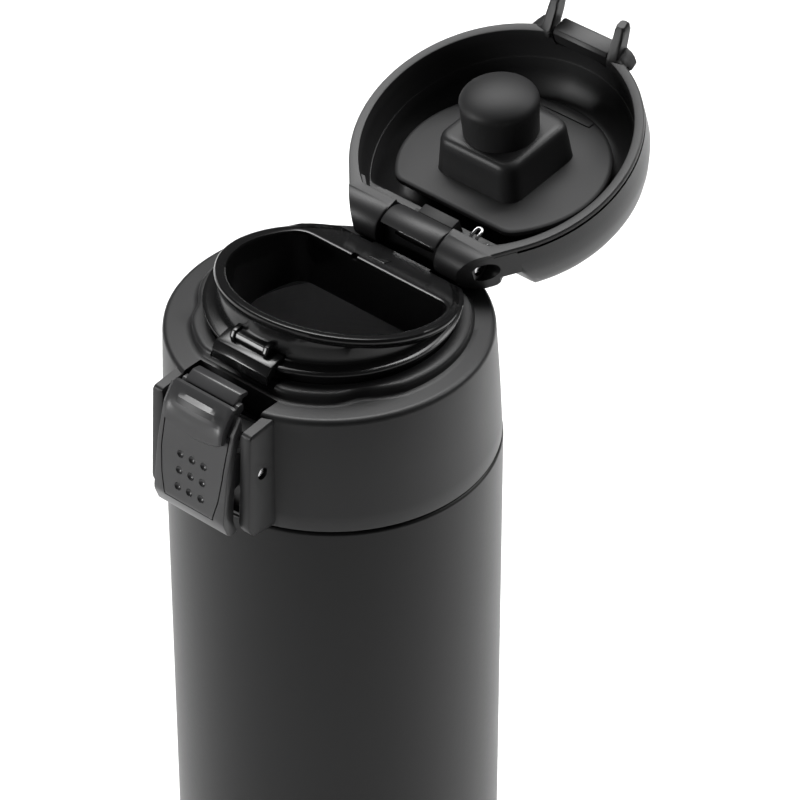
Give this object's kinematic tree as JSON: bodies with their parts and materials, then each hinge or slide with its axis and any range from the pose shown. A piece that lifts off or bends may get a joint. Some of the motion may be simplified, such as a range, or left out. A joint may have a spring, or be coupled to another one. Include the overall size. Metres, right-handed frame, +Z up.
{
  "type": "vacuum flask",
  "caption": "Slim vacuum flask with a screw-on collar, one-touch flip lid on a sprung hinge, push-button latch, lock slider and open drinking spout.",
  "frame": {"origin": "centre of the flat underside of the rubber base pad", "axes": "+Z up along the body, -Y toward the push button, +Y toward the lid hinge, +X to the right seen from the button"},
  "size_m": [0.068, 0.1231, 0.233],
  "materials": {
    "black_paint": "semi-matte powder paint",
    "brushed_steel": "satin",
    "steel_wire": "bright drawn wire",
    "black_plastic": "satin",
    "gloss_plastic": "polished",
    "black_silicone": "matte",
    "grey_silicone": "matte"
  },
  "bodies": {
    "bottle": {"outer_shell": "black_paint", "inner_liner": "brushed_steel", "base_cap": "black_paint", "base_pad": "black_silicone"},
    "lift_ring": {"mouth_gasket": "grey_silicone"},
    "stopper": {"collar": "black_plastic", "spout": "gloss_plastic", "hinge_pin": "steel_wire", "latch_pin": "steel_wire", "latch_spring": "steel_wire"},
    "lid": {"hinge_spring": "steel_wire", "lid_frame": "black_plastic", "lid_cover": "black_plastic", "lid_catch": "black_plastic", "seal_carrier": "black_plastic", "seal_plate": "black_silicone", "seal_pedestal": "black_plastic", "seal_knob": "black_silicone", "lid_bumper": "black_silicone"},
    "button": {"button_lever": "gloss_plastic"},
    "slider": {"lock_slider": "black_plastic"}
  },
  "joints": [
    {"name": "stopper_lift", "type": "slide", "parent": "bottle", "child": "lift_ring", "axis": [0, 0, 1], "range_m": [0, 0.0061]},
    {"name": "stopper_turn", "type": "hinge", "parent": "lift_ring", "child": "stopper", "pos_m": [0, 0, 0.172], "axis": [0, 0, 1], "range_deg": [0, 540]},
    {"name": "lid_hinge", "type": "hinge", "parent": "stopper", "child": "lid", "pos_m": [0, 0.0258, 0.2041], "axis": [1, 0, 0], "range_deg": [0, 160.9], "stiffness_Nm_per_rad": 0.012, "springref_deg": -34.38},
    {"name": "button_press", "type": "hinge", "parent": "stopper", "child": "button", "pos_m": [0, -0.035, 0.1873], "axis": [1, 0, 0], "range_deg": [0, 8], "stiffness_Nm_per_rad": 0.15, "springref_deg": -2.86},
    {"name": "lock_slide", "type": "slide", "parent": "button", "child": "slider", "axis": [0, -0.5601, -0.8284], "range_m": [0, 0.0022]}
  ],
  "couplings": [
    {"joint": "stopper_lift", "follows": "stopper_turn", "m_per_rad": 0.00063662}
  ]
}
